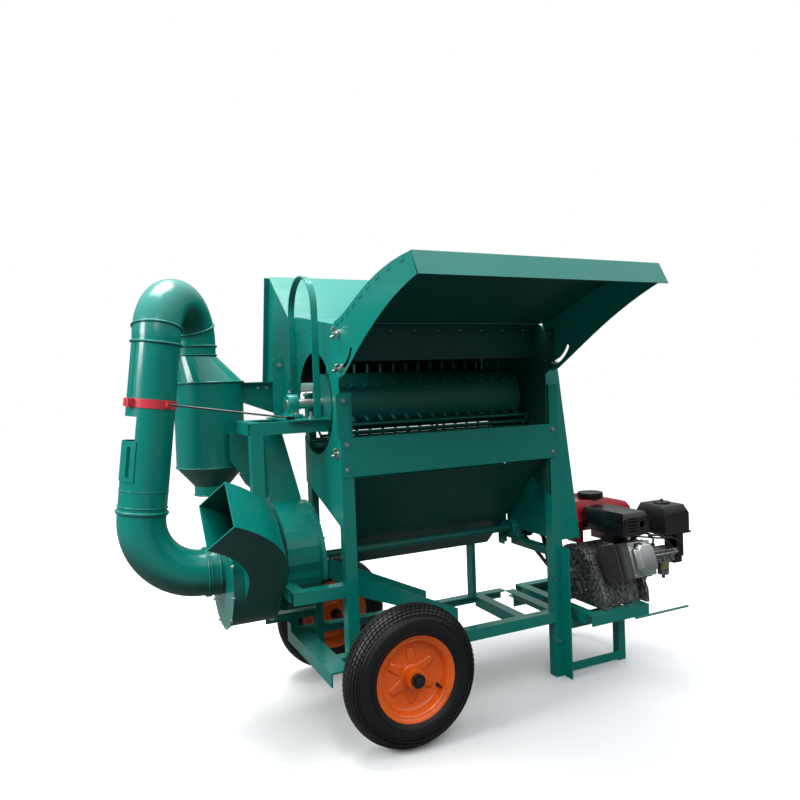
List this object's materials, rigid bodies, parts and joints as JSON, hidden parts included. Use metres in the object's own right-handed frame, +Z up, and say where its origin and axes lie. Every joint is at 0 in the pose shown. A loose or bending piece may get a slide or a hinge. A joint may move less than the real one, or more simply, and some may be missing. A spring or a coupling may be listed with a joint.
{
  "type": "grain thresher",
  "caption": "Portable grain thresher: petrol engine, belt-driven spike drum under a tilting hood, suction fan with leaning pipe and cyclone, on a two-wheeled angle-bar frame.",
  "frame": {"origin": "centre of the bounding box on the ground", "axes": "X along the machine from the cyclone end to the engine end, Y from the straw mouth to the feed hopper, Z up"},
  "size_m": [1.8449, 1.235, 1.416],
  "materials": {
    "painted_green": "gloss enamel",
    "painted_orange": "gloss enamel",
    "painted_red": "gloss enamel",
    "bright_steel": "zinc plated",
    "drum_steel": "worn enamel",
    "cast_aluminium": "as cast",
    "dark_aluminium": "as cast",
    "bright_aluminium": "satin",
    "black_steel": "satin enamel",
    "black_plastic": "moulded",
    "red_band": "moulded",
    "brass": "dull",
    "belt_rubber": "matte",
    "tyre_rubber": "matte"
  },
  "bodies": {
    "frame": {"corner_posts": "painted_green", "chassis_rails": "painted_green", "outboard_frame": "painted_green", "bracket_plates": "painted_green", "hoop_guard": "painted_green", "left_end_wall": "painted_green", "right_end_wall": "painted_green", "front_apron": "painted_green", "top_cover": "painted_green", "rear_panel": "painted_green", "grain_pan": "painted_green", "grain_chute": "painted_green", "concave_grate": "bright_steel", "bearing_blocks": "painted_green", "hood_bolts": "bright_steel", "feed_roof": "painted_green", "feed_wings": "painted_green", "feed_table": "painted_green", "feed_curtain": "belt_rubber", "belt_guard": "painted_green", "drive_belt": "belt_rubber", "fan_belt": "belt_rubber", "fan_housing": "painted_green", "fan_outlet": "painted_green", "suction_elbow": "painted_green", "suction_pipe": "painted_green", "top_elbow": "painted_green", "cyclone": "painted_green", "clamp_band": "red_band", "stay_rod": "black_steel", "cyclone_arm": "painted_green", "lift_duct": "painted_green", "axle": "bright_steel", "frame_bolts": "bright_steel", "engine_base": "painted_green", "crankcase": "cast_aluminium", "cylinder_block": "dark_aluminium", "valve_cover": "bright_aluminium", "fuel_tank": "painted_red", "muffler": "black_steel", "air_cleaner": "black_plastic", "carburettor": "brass", "recoil_starter": "black_steel", "spark_lead": "black_plastic"},
    "near_wheel": {"near_rim": "painted_orange", "near_tyre": "tyre_rubber"},
    "far_wheel": {"far_rim": "painted_orange", "far_tyre": "tyre_rubber"},
    "drum": {"threshing_drum": "drum_steel", "drum_shaft": "bright_steel", "drum_pulley": "black_steel"},
    "fan": {"fan_impeller": "bright_steel", "fan_shaft": "bright_steel", "fan_pulley": "black_steel"},
    "crank": {"crankshaft": "bright_steel"},
    "hood": {"hood_sheet": "painted_green", "hood_sides": "painted_green"},
    "gate": {"air_gate": "painted_green"},
    "cap": {"fuel_cap": "black_plastic"},
    "throttle": {"throttle_lever": "black_plastic"}
  },
  "joints": [
    {"name": "near_wheel_spin", "type": "hinge", "parent": "frame", "child": "near_wheel", "pos_m": [-0.205, -0.24, 0.2], "axis": [0, 1, 0], "continuous": true},
    {"name": "far_wheel_spin", "type": "hinge", "parent": "frame", "child": "far_wheel", "pos_m": [-0.205, 0.4, 0.2], "axis": [0, 1, 0], "continuous": true},
    {"name": "drum_spin", "type": "hinge", "parent": "frame", "child": "drum", "pos_m": [0.04, 0.127, 0.958], "axis": [1, 0, 0], "continuous": true},
    {"name": "fan_spin", "type": "hinge", "parent": "frame", "child": "fan", "pos_m": [-0.385, 0.185, 0.462], "axis": [1, 0, 0], "continuous": true},
    {"name": "crank_spin", "type": "hinge", "parent": "frame", "child": "crank", "pos_m": [0.551, -0.025, 0.332], "axis": [1, 0, 0], "continuous": true},
    {"name": "hood_tilt", "type": "hinge", "parent": "frame", "child": "hood", "pos_m": [0.04, -0.115, 1.16], "axis": [1, 0, 0], "range_deg": [0, 55]},
    {"name": "gate_slide", "type": "slide", "parent": "frame", "child": "gate", "axis": [0.1219, 0, 0.9925], "range_m": [0, 0.07]},
    {"name": "cap_turn", "type": "hinge", "parent": "frame", "child": "cap", "pos_m": [0.672, 0.019, 0.572], "axis": [0, 0, 1], "range_deg": [0, 90]},
    {"name": "throttle_turn", "type": "hinge", "parent": "frame", "child": "throttle", "pos_m": [0.773, -0.085, 0.436], "axis": [0, 0, 1], "range_deg": [0, 40]}
  ],
  "couplings": [
    {"joint": "crank_spin", "follows": "drum_spin", "ratio": 1.875},
    {"joint": "fan_spin", "follows": "drum_spin", "ratio": 1.6776}
  ]
}
